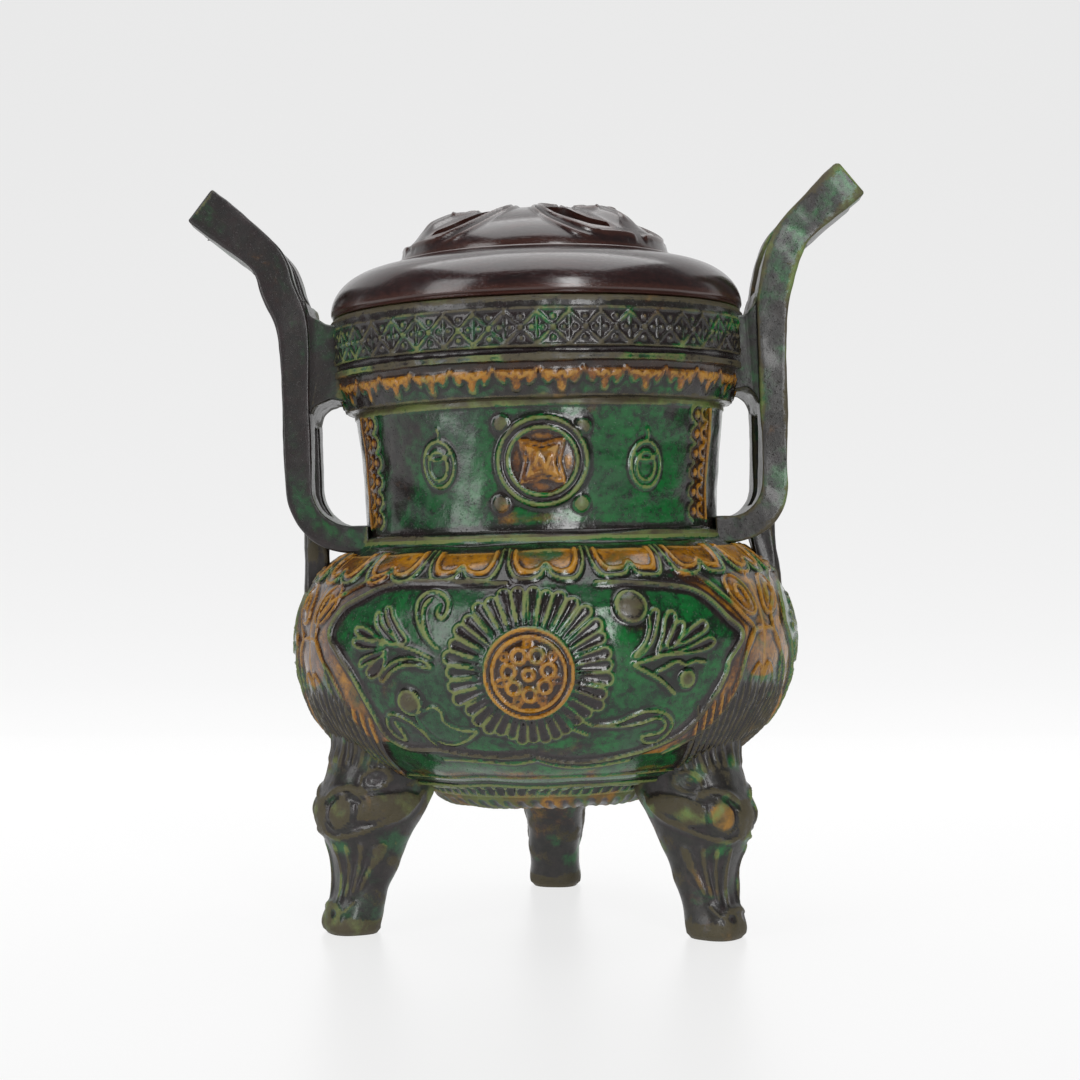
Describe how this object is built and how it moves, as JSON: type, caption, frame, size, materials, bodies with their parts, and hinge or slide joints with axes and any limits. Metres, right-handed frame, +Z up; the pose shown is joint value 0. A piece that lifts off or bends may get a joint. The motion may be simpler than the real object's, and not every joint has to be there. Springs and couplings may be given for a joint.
{
  "type": "tripod incense burner",
  "caption": "Moulded and glazed tripod incense burner with tall loop handles, mask-headed legs, floral relief and a lift-off pierced wooden lid.",
  "frame": {"origin": "middle of the bounding box at floor level, between the three feet", "axes": "+Z up, the front with the flower panel and coin medallion faces -Y, the handles lie along X"},
  "size_m": [0.2356, 0.1816, 0.2657],
  "materials": {
    "glazed_body": "glossy lead glazes in green, amber and aubergine over moulded relief, worn dull on the edges",
    "carved_wood": "dark hardwood, satin polish"
  },
  "bodies": {
    "root": {"censer": "glazed_body", "lid": "carved_wood"}
  },
  "joints": []
}
